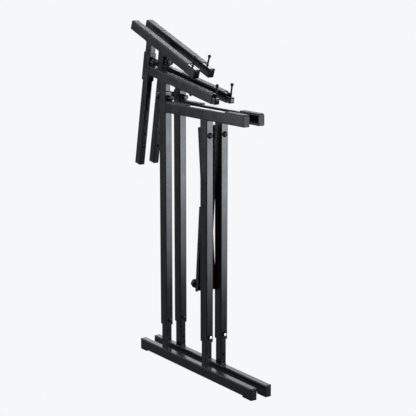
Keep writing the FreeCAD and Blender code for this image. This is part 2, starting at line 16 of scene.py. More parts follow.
import bpy
import bmesh
import numpy as np
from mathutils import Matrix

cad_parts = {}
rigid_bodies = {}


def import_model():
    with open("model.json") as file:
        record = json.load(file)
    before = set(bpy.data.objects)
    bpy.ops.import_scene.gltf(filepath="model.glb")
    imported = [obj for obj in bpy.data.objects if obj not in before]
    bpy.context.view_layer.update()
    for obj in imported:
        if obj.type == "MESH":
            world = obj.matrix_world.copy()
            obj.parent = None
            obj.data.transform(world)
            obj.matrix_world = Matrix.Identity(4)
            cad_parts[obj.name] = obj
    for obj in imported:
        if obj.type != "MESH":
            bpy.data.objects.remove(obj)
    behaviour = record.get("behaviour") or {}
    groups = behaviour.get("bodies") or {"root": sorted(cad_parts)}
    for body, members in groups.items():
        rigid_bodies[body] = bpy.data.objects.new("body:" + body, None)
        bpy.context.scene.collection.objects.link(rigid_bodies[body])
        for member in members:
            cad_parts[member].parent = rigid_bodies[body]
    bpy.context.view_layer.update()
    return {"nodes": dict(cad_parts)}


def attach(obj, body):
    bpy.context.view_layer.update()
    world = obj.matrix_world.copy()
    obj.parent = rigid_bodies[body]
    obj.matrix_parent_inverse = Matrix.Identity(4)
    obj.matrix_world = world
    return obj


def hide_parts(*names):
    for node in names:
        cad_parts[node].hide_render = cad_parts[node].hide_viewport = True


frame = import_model()
SIDES = (("left", -0.025), ("right", 0.025))
mm = 0.001

# %% [markdown]
# ## The camera
#
# The photographer stood in front of the left frame, a little above the top of
# the stand, and used a long lens, so the uprights stay almost parallel. The
# place, the turn and the focal length come from lines measured on the tubes.

# %% Camera
camera_data = bpy.data.cameras.new("photo_camera")
camera_data.sensor_width = 36.0
camera_data.lens = 1248.0923 / 416 * 36.0
camera_data.clip_end = 200.0
camera = bpy.data.objects.new("photo_camera", camera_data)
camera.location = (-1.989675, -2.847923, 1.211958)
camera.rotation_euler = (math.pi / 2 - 0.207348, -0.000283, -0.617457)
bpy.context.scene.collection.objects.link(camera)
bpy.context.scene.camera = camera
bpy.context.scene.view_settings.view_transform = "Standard"
print("focal length in mm:", round(camera_data.lens, 1))

# %% [markdown]
# ## Colours and nodes
#
# A screen colour is stored with a curve, and a renderer counts in plain light.
# One function turns a hex colour into plain light. A second one adds any node
# with its settings and its links, so each material below reads as a short
# recipe.

# %% Helpers for every material
def light_of(hex_colour):
    """sRGB to linear: c/12.92 below 0.04045, else ((c + 0.055)/1.055)^2.4."""
    code = hex_colour.lstrip("#")
    c = np.array([int(code[i:i + 2], 16) for i in (0, 2, 4)]) / 255
    linear = np.where(c <= 0.04045, c / 12.92, ((c + 0.055) / 1.055) ** 2.4)
    return (*map(float, linear), 1.0)


def feed(tree, node, links):
    """Joins sockets, or sets plain values: {input name or number: socket or value}."""
    for key, value in links.items():
        if isinstance(value, bpy.types.NodeSocket):
            tree.links.new(value, node.inputs[key])
        else:
            node.inputs[key].default_value = value


def add_node(tree, kind, links=None, **settings):
    """Adds a node of any kind with its settings, then its links and values."""
    node = tree.nodes.new(kind)
    for name, value in settings.items():
        setattr(node, name, value)
    feed(tree, node, links or {})
    return node


print("pale tent colour in plain light:", [round(c, 3) for c in light_of("#F6F7F9")])

# %% [markdown]
# ## The room
#
# The photograph has one flat pale tone behind the stand and no shadow, so the
# paper that the camera sees is a round bowl with an even glow: a floor and a
# far wall. What the black paint mirrors is another matter. Its sides are dark
# grey, and its level faces mirror a bright wall behind. So the room's light
# depends on the height it comes from, h = sin(elevation): dim below, bright
# just above the horizon, dimmer overhead. The paper is left out of the
# reflections and gives way to the room.

# %% Graded light
scene = bpy.context.scene
world = bpy.data.worlds.new("studio_room")
world.use_nodes = True
scene.world = world
room = world.node_tree
direction = add_node(room, "ShaderNodeTexCoord")
height = add_node(room, "ShaderNodeSeparateXYZ", {"Vector": direction.outputs["Generated"]})
as_share = add_node(room, "ShaderNodeMapRange",
                    {"Value": height.outputs["Z"], "From Min": -1.0, "From Max": 1.0})
levels = add_node(room, "ShaderNodeValToRGB", {"Fac": as_share.outputs["Result"]})
STEPS = ((-1.0, 0.03), (-0.36, 0.15), (-0.26, 0.16), (-0.18, 0.17), (-0.05, 0.12), (0.06, 1.0),
         (0.15, 2.2), (0.24, 1.5), (0.34, 1.15), (0.50, 0.30), (1.0, 0.30))
band = levels.color_ramp.elements
while len(band) < len(STEPS):
    band.new(0.5)
for step, (h, level) in zip(band, STEPS):
    step.position = (h + 1) / 2
    step.color = (level * 0.95, level, level * 1.01, 1.0)
feed(room, room.nodes["Background"], {"Color": levels.outputs["Color"], "Strength": 1.5})
print("steps of light:", len(band))

# %% Paper bowl
tent = bpy.data.materials.new("pale_paper_floor")
tent.use_nodes = True
tent.node_tree.nodes.clear()
glow = add_node(tent.node_tree, "ShaderNodeEmission",
                {"Color": light_of("#F6F7F9"), "Strength": 1.0})
add_node(tent.node_tree, "ShaderNodeOutputMaterial", {"Surface": glow.outputs["Emission"]})

reach, sides, below_feet = 40.0, 64, -0.5 * mm
compass = np.linspace(0, 2 * np.pi, sides, endpoint=False)
rim = reach * np.c_[np.cos(compass), np.sin(compass)]
low, high = np.c_[rim, np.full(sides, below_feet)], np.c_[rim, np.full(sides, reach)]
here = np.arange(sides)
beside = (here + 1) % sides
wall = np.stack([here, beside, beside + sides, here + sides], axis=-1)
floor_mesh = bpy.data.meshes.new("floor")
floor_mesh.from_pydata(np.concatenate([low, high]).tolist(), [], [here.tolist(), *wall.tolist()])
floor_mesh.materials.append(tent)
floor = bpy.data.objects.new("floor", floor_mesh)
floor.visible_glossy = False
floor.visible_diffuse = False
floor.visible_shadow = False
scene.collection.objects.link(floor)
print("paper bowl across in metres:", 2 * reach)

# %% [markdown]
# ## Softboxes
#
# The fronts of the uprights are mid grey at the top and fade toward the feet.
# They mirror a softbox low on the right, and a dim one under it softens the
# fade. The overhead box lights the sloping tops, and a weak one on the left
# lifts the near arms toward their front ends. All are a little cool.

# %% Four softboxes
def softbox(name, place, target, width, height, watts):
    """An area light at place that faces target. It isn't seen itself, only its light."""
    data = bpy.data.lights.new(name, "AREA")
    data.shape = "RECTANGLE"
    data.size, data.size_y = width, height
    data.energy = watts
    data.color = light_of("#F0F8FF")[:3]
    lamp = bpy.data.objects.new(name, data)
    away = np.array(place, float) - np.array(target, float)
    turn = math.atan2(away[0], -away[1])
    tilt = math.atan2(math.hypot(away[0], away[1]), away[2])
    lamp.rotation_euler = (tilt, 0.0, turn)
    lamp.location = place
    lamp.visible_camera = False
    scene.collection.objects.link(lamp)


softbox("front_right_softbox", (0.95, -1.45, 0.43), (0, -0.1, 0.45), 0.6, 0.60, 13.5)
softbox("front_low_softbox", (0.95, -1.45, -0.02), (0, -0.1, 0.10), 0.6, 0.28, 3.0)
softbox("overhead_softbox", (1.23, 1.11, 2.42), (0, 0.08, 0.92), 1.0, 1.0, 29)
softbox("left_softbox", (-2.3, 1.93, 0.70), (0, -0.05, 0.70), 1.0, 1.1, 10.5)

# %% [markdown]
# ## Powder coat on steel
#
# Polyester powder is sprayed dry on the tube and melts into one skin in an
# oven. It flows a little as it melts and leaves "orange peel", shallow dimples
# 2 to 3 mm across, under a satin gloss. Handling leaves faint dull clouds. A
# plastic-like shader with the default IOR of 1.5 suits it, because the eye
# sees only the polymer and never the steel.

# %% Shared start of every finish
def new_finish(name, colour, **sockets):
    """A material with one Principled shader: (material, tree, shader, Object coordinates)."""
    material = bpy.data.materials.new(name)
    material.use_nodes = True
    material.diffuse_color = light_of(colour)
    tree = material.node_tree
    shader = tree.nodes["Principled BSDF"]
    plain = {key.replace("_", " "): value for key, value in sockets.items()}
    feed(tree, shader, {"Base Color": light_of(colour), **plain})
    place = add_node(tree, "ShaderNodeTexCoord").outputs["Object"]
    return material, tree, shader, place


# %% Satin black powder coat
coat, tree, shader, place = new_finish("satin_black_powder_coat", "#0A0A0B",
                                       Specular_IOR_Level=0.32)
handled = add_node(tree, "ShaderNodeTexNoise", {"Vector": place, "Scale": 1000 / 45, "Detail": 3.0})
dull = add_node(tree, "ShaderNodeMapRange",
                {"Value": handled.outputs["Fac"], "From Min": 0.3, "From Max": 0.7,
                 "To Min": 0.19, "To Max": 0.27})
tone = add_node(tree, "ShaderNodeMix",
                {0: handled.outputs["Fac"], 6: light_of("#080809"), 7: light_of("#111113")},
                data_type="RGBA")
# orange peel: dimples 2.5 mm across and 0.015 mm deep
peel = add_node(tree, "ShaderNodeTexNoise", {"Vector": place, "Scale": 1000 / 2.5, "Detail": 1.0})
dimples = add_node(tree, "ShaderNodeBump", {"Height": peel.outputs["Fac"], "Distance": 0.015 * mm})
feed(tree, shader, {"Base Color": tone.outputs[2], "Roughness": dull.outputs["Result"],
                    "Normal": dimples.outputs["Normal"]})
print("made", coat.name)

# %% [markdown]
# ## Sliding posts
#
# The inner posts rub in the plastic guides each time the stand is set to a new
# height. The coat there is polished in fine upright streaks, a shade paler and
# glossier than the rest.

# %% Powder coat rubbed by the guides
slid_coat, tree, shader, place = new_finish("rubbed_black_powder_coat", "#0B0B0C",
                                            Specular_IOR_Level=0.35)
# streaks 1.5 mm wide and some 60 mm long
upright = add_node(tree, "ShaderNodeMapping", {"Vector": place, "Scale": (1, 1, 0.025)})
streaks = add_node(tree, "ShaderNodeTexNoise",
                   {"Vector": upright.outputs["Vector"], "Scale": 1000 / 1.5, "Detail": 3.0})
gloss = add_node(tree, "ShaderNodeMapRange",
                 {"Value": streaks.outputs["Fac"], "From Min": 0.35, "From Max": 0.65,
                  "To Min": 0.16, "To Max": 0.28})
rubbed = add_node(tree, "ShaderNodeMapRange",
                  {"Value": streaks.outputs["Fac"], "From Min": 0.52, "From Max": 0.75})
tone = add_node(tree, "ShaderNodeMix",
                {0: rubbed.outputs["Result"], 6: light_of("#0A0A0B"), 7: light_of("#1E1E21")},
                data_type="RGBA")
peel = add_node(tree, "ShaderNodeTexNoise", {"Vector": place, "Scale": 1000 / 2.5, "Detail": 1.0})
dimples = add_node(tree, "ShaderNodeBump", {"Height": peel.outputs["Fac"], "Distance": 0.02 * mm})
feed(tree, shader, {"Base Color": tone.outputs[2], "Roughness": gloss.outputs["Result"],
                    "Normal": dimples.outputs["Normal"]})
print("made", slid_coat.name)

# %% [markdown]
# ## Moulded plastics
#
# The end caps, plugs and tube guides are black polypropylene from a mould whose
# steel was spark-eroded, which leaves a fine even grain. The knobs are
# glass-filled nylon, harder and a little glossier. The real grain is 0.1 mm
# across. It is drawn at 0.6 mm so that it shows at all.

# %% Black polypropylene and glass-filled nylon
def moulded(name, dark, pale, low, high, depth_mm):
    """Grain 0.6 mm across, with gloss from low to high, and flow clouds of 12 mm."""
    material, tree, shader, place = new_finish(name, dark, Specular_IOR_Level=0.22)
    grain = add_node(tree, "ShaderNodeTexNoise", {"Vector": place, "Scale": 1000 / 0.6})
    flow = add_node(tree, "ShaderNodeTexNoise", {"Vector": place, "Scale": 1000 / 12})
    tone = add_node(tree, "ShaderNodeMix",
                    {0: flow.outputs["Fac"], 6: light_of(dark), 7: light_of(pale)},
                    data_type="RGBA")
    gloss = add_node(tree, "ShaderNodeMapRange",
                     {"Value": grain.outputs["Fac"], "From Min": 0.3, "From Max": 0.7,
                      "To Min": low, "To Max": high})
    pits = add_node(tree, "ShaderNodeBump",
                    {"Height": grain.outputs["Fac"], "Distance": depth_mm * mm})
    feed(tree, shader, {"Base Color": tone.outputs[2], "Roughness": gloss.outputs["Result"],
                        "Normal": pits.outputs["Normal"]})
    return material


polypropylene = moulded("black_polypropylene", "#08080A", "#0E0E10", 0.34, 0.46, 0.05)
nylon = moulded("glass_filled_nylon", "#08080A", "#0F0F11", 0.16, 0.26, 0.02)
print("made", polypropylene.name, nylon.name)

# %% [markdown]
# ## Rubber, steel hardware and zinc plate
#
# The strips on the arms are extruded EPDM rubber. It is matt and scatters light
# from a fine dusty bloom, so it looks greyer than the paint beside it. The
# bolts and pins are steel with a black oxide skin. The pin that shows in each
# front plunger is zinc plated, and dulled by handling.

# %% EPDM rubber
epdm, tree, shader, place = new_finish("black_epdm_rubber", "#1B1C1E", Specular_IOR_Level=0.5)
# bloom in clouds of 9 mm, and a grain drawn out along the strip
dust = add_node(tree, "ShaderNodeTexNoise", {"Vector": place, "Scale": 1000 / 9, "Detail": 4.0})
bloom = add_node(tree, "ShaderNodeMapRange",
                 {"Value": dust.outputs["Fac"], "From Min": 0.35, "From Max": 0.7})
tone = add_node(tree, "ShaderNodeMix",
                {0: bloom.outputs["Result"], 6: light_of("#1B1C1E"), 7: light_of("#2A2B2E")},
                data_type="RGBA")
matt = add_node(tree, "ShaderNodeMapRange",
                {"Value": dust.outputs["Fac"], "From Min": 0.3, "From Max": 0.7,
                 "To Min": 0.50, "To Max": 0.64})
drawn = add_node(tree, "ShaderNodeMapping", {"Vector": place, "Scale": (1, 0.3, 1)})
grain = add_node(tree, "ShaderNodeTexNoise",
                 {"Vector": drawn.outputs["Vector"], "Scale": 1000 / 0.8})
skin = add_node(tree, "ShaderNodeBump", {"Height": grain.outputs["Fac"], "Distance": 0.015 * mm})
feed(tree, shader, {"Base Color": tone.outputs[2], "Roughness": matt.outputs["Result"],
                    "Normal": skin.outputs["Normal"]})
print("made", epdm.name)


# %% Zinc plate and black oxide
def steel_skin(name, dark, pale, low, high, stain_mm):
    """Metal whose tone and gloss wander together in clouds of stain_mm, finely scratched."""
    material, tree, shader, place = new_finish(name, dark, Metallic=1.0)
    stain = add_node(tree, "ShaderNodeTexNoise",
                     {"Vector": place, "Scale": 1000 / stain_mm, "Detail": 3.0})
    tone = add_node(tree, "ShaderNodeMix",
                    {0: stain.outputs["Fac"], 6: light_of(dark), 7: light_of(pale)},
                    data_type="RGBA")
    gloss = add_node(tree, "ShaderNodeMapRange",
                     {"Value": stain.outputs["Fac"], "From Min": 0.3, "From Max": 0.7,
                      "To Min": low, "To Max": high})
    fine = add_node(tree, "ShaderNodeTexNoise", {"Vector": place, "Scale": 1000 / 0.5})
    marks = add_node(tree, "ShaderNodeBump", {"Height": fine.outputs["Fac"], "Distance": 0.01 * mm})
    feed(tree, shader, {"Base Color": tone.outputs[2], "Roughness": gloss.outputs["Result"],
                        "Normal": marks.outputs["Normal"]})
    return material


zinc = steel_skin("zinc_plated_steel", "#E4E6E8", "#F4F5F6", 0.48, 0.58, 6.0)
black_oxide = steel_skin("black_oxide_steel", "#222325", "#343538", 0.24, 0.36, 5.0)
print("made", zinc.name, black_oxide.name)

# %% [markdown]
# ## From a grid of points to a mesh
#
# Every new piece below is a surface P(u, v) worked out for a whole grid at
# once: u runs along the piece and v runs round it. Neighbouring points become
# quads. Where a row shrinks to one point, as at the tip of a pin, the doubles
# are merged and the piece closes.

# %% Grids into pieces
X_AXIS, Y_AXIS, Z_AXIS = np.eye(3)


def grid_quads(rows, columns, loop):
    """Quad (i, j): points ij, i j+1, i+1 j+1, i+1 j, and v always closes round."""
    i = np.arange(rows - 1 + loop)[:, None]
    j = np.arange(columns)[None, :]
    ahead, beside = (i + 1) % rows, (j + 1) % columns
    quads = np.stack([i * columns + j, i * columns + beside,
                      ahead * columns + beside, ahead * columns + j], axis=-1)
    return quads.reshape(-1, 4)


def make_piece(name, grids, material, body, replaced=(), loop=False, sharp=38.0):
    """Joins grids of shape (rows, columns, 3) in mm into one shaded piece on a body."""
    sizes = np.array([g.shape[0] * g.shape[1] for g in grids])
    first = np.concatenate([[0], np.cumsum(sizes)[:-1]])
    quads = np.concatenate([grid_quads(*g.shape[:2], loop) + n for g, n in zip(grids, first)])
    points = np.concatenate([g.reshape(-1, 3) for g in grids]) * mm
    mesh = bpy.data.meshes.new(name)
    mesh.from_pydata(points.tolist(), [], quads.tolist())
    shell = bmesh.new()
    shell.from_mesh(mesh)
    bmesh.ops.remove_doubles(shell, verts=shell.verts, dist=2e-6)
    bmesh.ops.recalc_face_normals(shell, faces=shell.faces)
    shell.to_mesh(mesh)
    shell.free()
    mesh.shade_smooth()
    mesh.set_sharp_from_angle(angle=math.radians(sharp))
    mesh.materials.append(material)
    piece = bpy.data.objects.new(name, mesh)
    scene.collection.objects.link(piece)
    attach(piece, body)
    if replaced:
        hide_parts(*replaced)
    return piece


def unit(vector):
    vector = np.asarray(vector, float)
    return vector / np.linalg.norm(vector)


def softened(corners, radius, steps=5):
    """Rounds the inner corners of a line: q(t) = (1-t)^2 a + 2t(1-t) c + t^2 b."""
    c = np.asarray(corners, float)
    back, on = c[:-2] - c[1:-1], c[2:] - c[1:-1]
    back_length = np.linalg.norm(back, axis=1, keepdims=True)
    on_length = np.linalg.norm(on, axis=1, keepdims=True)
    wanted = np.broadcast_to(np.asarray(radius, float), len(c) - 2)[:, None]
    r = np.minimum(wanted, 0.49 * np.minimum(back_length, on_length))
    a = (c[1:-1] + back / back_length * r)[:, None]
    b = (c[1:-1] + on / on_length * r)[:, None]
    t = np.linspace(0, 1, steps)[None, :, None]
    arcs = (1 - t) ** 2 * a + 2 * t * (1 - t) * c[1:-1][:, None] + t ** 2 * b
    return np.concatenate([c[:1], arcs.reshape(-1, 2), c[-1:]])


def turned(profile, start, direction, sides=48, shape=None):
    """P(s, a) = start + x(s) d + r(s, a)(u cos a + v sin a); shape changes r(s, a)."""
    x, r = np.asarray(profile, float).T[:, :, None]
    a = np.linspace(0, 2 * np.pi, sides, endpoint=False)[None, :]
    r = shape(x, r, a) if shape else r * np.ones_like(a)
    d = unit(direction)
    u = unit(X_AXIS - (X_AXIS @ d) * d)
    v = np.cross(d, u)
    ring = np.cos(a)[..., None] * u + np.sin(a)[..., None] * v
    return np.asarray(start, float) + x[..., None] * d + r[..., None] * ring


print("quads in a 3 by 4 grid:", len(grid_quads(3, 4, False)))

# %% [markdown]
# ## Where the tiers and posts lie
#
# The second tier rises 9.8 degrees to the rear. The third stands on a post
# that leans 10.7 degrees forward, so its arm rises 20.5 degrees. A small
# function turns "across, along and above the arm" into a place in the room, so
# a strip or a pin can be drawn flat and then set on any tier. The posts stand
# upright, and their plungers and bolts need only a height.

# %% The frames of the three arms, in millimetres
FRONT_Y, REAR_Y = -75.018, 129.982
FOOT_TOP, LEG_LOCK_Z, BOLT_Z, TIER_LOCK_Z = 33.0, 125.0, 702.0, 786.0
# a plunger starts inside the tube's 16 mm half depth, a bolt on its face
PLUNGER_IN, HALF_DEPTH = 13.8, 16.0


def arm_frame(front_y, underside_z, rise):
    """(front end of the underside, unit vector along, unit vector square up), in mm."""
    angle = math.radians(rise)
    along = np.array([0.0, math.cos(angle), math.sin(angle)])
    above = np.array([0.0, -math.sin(angle), math.cos(angle)])
    return np.array([0.0, front_y, underside_z]), along, above


LOWER = arm_frame(-256.018, 744.0, 0.0)
SECOND = arm_frame(-106.516, 790.650, 9.8)
THIRD = arm_frame(-22.043, 852.357, 20.5)
SLEEVE = arm_frame(219.654, 846.989, 10.7)


def on_arm(arm, across, along, above):
    """P = origin + across X + along t + above n, for arrays of any one shape."""
    origin, t, n = arm
    parts = [np.asarray(q, float)[..., None] * axis
             for q, axis in ((across, X_AXIS), (along, t), (above, n))]
    return origin + parts[0] + parts[1] + parts[2]


for label, arm in (("second", SECOND), ("third", THIRD)):
    print(label, "arm, end over its post:", on_arm(arm, 0.0, 240.0, 0.0).round(2))

# %% [markdown]
# ## Rubber strips
#
# A keyboard rests on extruded rubber strips glued to the arms. Their tops have
# fine lengthwise ribs for grip and their edges are round. The section is drawn
# once as a closed outline, carried along the arm, and pressed down at both
# ends so that the ends are round too.

# %% A ribbed strip
def strip_section(width, thick, edge, ribs=6, groove=0.12):
    """z = thick - groove (0.5 - 0.5 cos 2 pi k)^2 on top, quarter circles at its sides."""
    turn = np.linspace(np.pi, np.pi / 2, 6)
    left = np.c_[-width / 2 + edge + edge * np.cos(turn), thick - edge + edge * np.sin(turn)]
    k = np.linspace(0, ribs, ribs * 8 + 1)
    wave = (0.5 - 0.5 * np.cos(2 * np.pi * k)) ** 2
    top = np.c_[(k / ribs - 0.5) * (width - 2 * edge), thick - groove * wave]
    right = left[::-1] * [-1, 1]
    foot = [[width / 2, 0.0], [-width / 2, 0.0]]
    return np.concatenate([left, top[1:-1], right, foot])


def strip(arm, centre_x, start, length, thick, height):
    """P(s, v): the section at s, cut down to z = thick - e + sqrt(e^2 - (e - d)^2) near an end."""
    edge = min(1.1, 0.65 * thick)
    x, z = strip_section(18.0, thick, edge).T
    near_end = edge * (1 - np.cos(np.linspace(0, np.pi / 2, 6)))
    middle = np.linspace(edge + 4, length - edge - 4, 24)
    s = np.concatenate([near_end, middle, length - near_end[::-1]])
    d = np.minimum(s, length - s).clip(0, edge)
    limit = thick - edge + np.sqrt(edge ** 2 - (edge - d) ** 2)
    z = np.minimum(z[None, :], limit[:, None])
    body = on_arm(arm, centre_x + x + 0 * z, (start + s)[:, None] + 0 * z, height + z)
    ends = body[[0, -1]].mean(axis=1, keepdims=True) + 0 * body[[0, -1]]
    return np.concatenate([ends[:1], body, ends[1:]])


STRIPS = {
    "lower_arm_pads": ("frame", LOWER, 3.0, 30.0, ((3.0, 82.0), (272.0, 95.0))),
    "second_arm_pad": ("second_tier", SECOND, 1.5, 27.0, ((17.0, 207.0),)),
    "third_arm_pads": ("third_tier", THIRD, 1.5, 27.0, ((39.0, 219.0), (259.5, 79.5))),
}
for side, x0 in SIDES:
    for node, (body, arm, thick, height, runs) in STRIPS.items():
        grids = [strip(arm, x0 / mm, start, length, thick, height) for start, length in runs]
        piece = make_piece(f"{side}_{node}_ribbed", grids, epdm, f"{side}_{body}",
                           [f"{side}_{node}"])
print("last strip:", piece.name, "faces:", len(piece.data.polygons))

# %% [markdown]
# ## Clamp knobs
#
# A clamp knob is one nylon moulding: a round grip with five finger hollows, a
# hub under it and a steel stud. The grip is a turned profile whose radius is
# held back wherever it would enter one of five round hollows. A soft minimum
# of the two radii rounds the ridge between hollow and rim, as a mould does.

# %% Knob surface
def five_hollows(radius):
    """r = softmin(r(s), c cos b - sqrt(p^2 - c^2 sin^2 b)), b the angle from a hollow."""
    centre, hollow, k = 13.7 * radius / 11.5, 4.2 * radius / 11.5, 0.35

    def shape(x, r, a):
        b = (a + np.pi / 5) % (2 * np.pi / 5) - np.pi / 5
        inside = hollow ** 2 - (centre * np.sin(b)) ** 2
        wall = np.where(inside > 0, centre * np.cos(b) - np.sqrt(np.maximum(inside, 0)), 60.0)
        return r - k * np.log1p(np.exp(np.clip((r - wall) / k, -50, 50)))
    return shape


def knob_profile(radius, shank, stud):
    """Stud tip, hub, skirt, rim, crown and a sunken cap, as (along, radius) in mm."""
    line = [(-stud, 0), (-stud, shank - 0.5), (-stud + 0.5, shank), (0, shank), (0, 7.0),
            (3.0, 6.8), (3.0, radius - 0.6), (5.0, radius), (13.0, radius - 0.15),
            (15.8, radius - 1.6), (16.0, 7.6), (15.2, 6.9), (15.2, 5.9), (15.7, 5.2), (15.9, 0)]
    round_by = [0.1, 0.1, 0.1, 0.2, 0.5, 0.4, 0.9, 1.0, 1.6, 1.2, 0.4, 0.3, 0.3]
    return softened(line, round_by)


def make_knob(name, node, body, start, direction, radius, shank, stud):
    grid = turned(knob_profile(radius, shank, stud), start, direction, 120, five_hollows(radius))
    return make_piece(name, [grid], nylon, body, [node])


sleeve_face = on_arm(SLEEVE, 0.0, -21.3, 40.5)
for side, x0 in SIDES:
    side_x = np.array([x0 / mm, 0, 0])
    make_knob(f"{side}_second_knob_lobed", f"{side}_second_knob", f"{side}_second_clamp",
              side_x + (0, 151.282, TIER_LOCK_Z), Y_AXIS, 11.5, 4.0, 7.5)
    make_knob(f"{side}_third_knob_lobed", f"{side}_third_knob", f"{side}_third_clamp",
              side_x + sleeve_face, -SLEEVE[1], 11.5, 4.0, 7.5)
knob = make_knob("beam_lock_knob_lobed", "beam_lock_knob", "beam_lock",
                 (-21.964, -24.118, 266.257), Y_AXIS, 13.0, 2.5, 21.3)
print("knob faces:", len(knob.data.polygons), "third knob starts at", sleeve_face.round(2))

# %% [markdown]
# ## Pull plungers
#
# A spring plunger locks each leg: a pin through the tube wall with a small
# black grip to pull. On the front legs the grip's end shows the zinc-plated
# pin, a bright dot in a dark ring. The rear legs have the same pin, drawn in black nylon as painted
# shade. The second tier's plungers are longer and all black. The knurl is a ripple in the radius
# that fades out at the rims.

# %% Plunger surface
def knurled(teeth, depth, start, end):
    """r(s, a) = r - depth (0.5 - 0.5 cos(teeth a)) for x from start to end, off the stem."""
    fade, stem = 0.15, 4.0

    def shape(x, r, a):
        on_grip = 1 / (1 + np.exp(-(x - start) / fade)) / (1 + np.exp((x - end) / fade))
        return r - depth * (r > stem) * on_grip * (0.5 - 0.5 * np.cos(teeth * a))
    return shape


LEG_HEAD = softened([(0, 0), (0, 2.5), (0.6, 3.0), (2.8, 3.0), (2.8, 4.9), (3.4, 5.5), (5.4, 5.5),
                     (6.0, 4.9), (6.5, 4.9), (7.0, 5.4), (7.6, 5.1), (7.6, 0)], 0.3)
LEG_TIP = softened([(7.4, 0), (7.4, 4.1), (7.7, 3.9), (8.0, 2.6), (8.2, 0)], 0.3)
TIER_HEAD = softened([(0, 0), (0, 2.5), (0.6, 3.0), (8.6, 3.0), (8.6, 5.4), (10.6, 5.6),
                      (11.4, 7.2), (13.4, 7.5), (14.4, 6.1), (16.4, 6.1), (17.4, 7.4),
                      (19.2, 7.3), (20.1, 6.2), (20.2, 0)], 0.45)
for side, x0 in SIDES:
    # the rear tips get black nylon as painted shade: they carry the same zinc pin as the front ones
    for name, y, tip_finish_or_painted_shade in (("front_leg", FRONT_Y, zinc), ("rear_leg", REAR_Y, nylon)):
        start = (x0 / mm, y - PLUNGER_IN, LEG_LOCK_Z)
        grip = turned(LEG_HEAD, start, -Y_AXIS, 96, knurled(24, 0.35, 3.5, 5.3))
        make_piece(f"{side}_{name}_plunger_grip", [grip], nylon, f"{side}_{name}_lock",
                   [f"{side}_{name}_plunger"])
        tip = turned(LEG_TIP, start, -Y_AXIS, 48)
        make_piece(f"{side}_{name}_plunger_tip", [tip], tip_finish_or_painted_shade, f"{side}_{name}_lock",
                   [f"{side}_{name}_plunger"])
    grid = turned(TIER_HEAD, (x0 / mm, REAR_Y - PLUNGER_IN, TIER_LOCK_Z), -Y_AXIS, 96,
                  knurled(28, 0.4, 11.6, 13.2))
    make_piece(f"{side}_second_plunger_turned", [grid], nylon, f"{side}_second_lock",
               [f"{side}_second_plunger"])
print("plunger heads:", len(LEG_HEAD), "and", len(TIER_HEAD), "profile points")

# %% [markdown]
# ## Ball pins
#
# An upright rod in each sliding stop keeps the keyboard from sliding off. It
# is black-oxide steel with a ball on top, and a neck where rod meets ball.

# %% Pin surface
def pin_profile():
    """Rod r = 2.5, collar, then a sphere r = 4.8: x = c - 4.8 cos q, r = 4.8 sin q."""
    rod = softened([(6.8, 0), (6.8, 2.2), (7.1, 2.5), (27.3, 2.5), (27.4, 3.1), (28.9, 3.1),
                    (29.1, 2.5), (47.0, 2.5), (49.2, 3.1)], 0.4)
    q = np.linspace(np.radians(44), np.pi, 20)
    ball = np.c_[53.5 - 4.8 * np.cos(q), 4.8 * np.sin(q)]
    return np.concatenate([rod, ball])


for side, x0 in SIDES:
    for tier, arm, at in (("second", SECOND, -8.5), ("third", THIRD, 24.5)):
        foot_point = on_arm(arm, x0 / mm, at, 0.0)
        grid = turned(pin_profile(), foot_point, arm[2], 32)
        pin = make_piece(f"{side}_{tier}_ball_pin", [grid], black_oxide,
                         f"{side}_{tier}_stop_slider",
                         [f"{side}_{tier}_stop_pin"])
print("pin height above the arm's underside in mm:", pin_profile()[-1, 0])

# %% [markdown]
# ## The third tier's sliding stops
#
# On the top tier the stop is pushed in until its block closes the arm's mouth.
# Its key fills the slot almost to the top face, so from above only two thin
# lines show. It ends short of the slot's end, because the stop can go 9 mm
# further in. The section is an outline with a step for the key, carried along
# the arm and drawn in at both ends. A plain tail follows.

# %% Block and tail
def carried(section, arm, centre_x, start, length, edge):
    """P(s, v) = c + k(s)(q(v) - c), k = 1 - e (1 - sin)/half on the last e mm of each end."""
    q = np.linspace(0, np.pi / 2, 5)
    near_end = edge * (1 - np.cos(q))
    s = np.concatenate([near_end, length - near_end[::-1]])
    inset = edge * (1 - np.concatenate([np.sin(q), np.sin(q)[::-1]]))
    centre = (section.min(axis=0) + section.max(axis=0)) / 2
    half = (section.max(axis=0) - section.min(axis=0)) / 2
    k = 1 - inset[:, None, None] / half
    outline = centre + k * (section - centre)
    x, z = outline[..., 0], outline[..., 1]
    body = on_arm(arm, centre_x + x, (start + s)[:, None] + 0 * x, z)
    ends = body[[0, -1]].mean(axis=1, keepdims=True) + 0 * body[[0, -1]]
    return np.concatenate([ends[:1], body, ends[1:]])


keyed = [(0, 1.8), (8.2, 1.8), (8.2, 25.2), (2.9, 25.2), (2.9, 26.8),
         (-2.9, 26.8), (-2.9, 25.2), (-8.2, 25.2), (-8.2, 1.8), (0, 1.8)]
keyed_section = softened(keyed, [1.5, 1.5, 0.3, 0.4, 0.4, 0.3, 1.5, 1.5])[:-1]
plain = [(0, 1.8), (8.2, 1.8), (8.2, 18.8), (-8.2, 18.8), (-8.2, 1.8), (0, 1.8)]
plain_section = softened(plain, 1.5)[:-1]
for side, x0 in SIDES:
    grids = [carried(keyed_section, THIRD, x0 / mm, 0.4, 25.4, 1.2),
             carried(plain_section, THIRD, x0 / mm, 25.2, 155.3, 0.8)]
    block = make_piece(f"{side}_third_stop_keyed", grids, coat, f"{side}_third_stop_slider",
                       [f"{side}_third_stop"])
print("block faces:", len(block.data.polygons))

# %% [markdown]
# ## Bolts, nuts and caps
#
# Each half of the cross-beam hangs on a bolt through a front upright. In front
# a plastic snap cap covers its head. Behind sits a lock nut with a nylon ring.
# A hexagon is also a radius that depends on the angle, cut back near its ends
# by the cone of the chamfer.

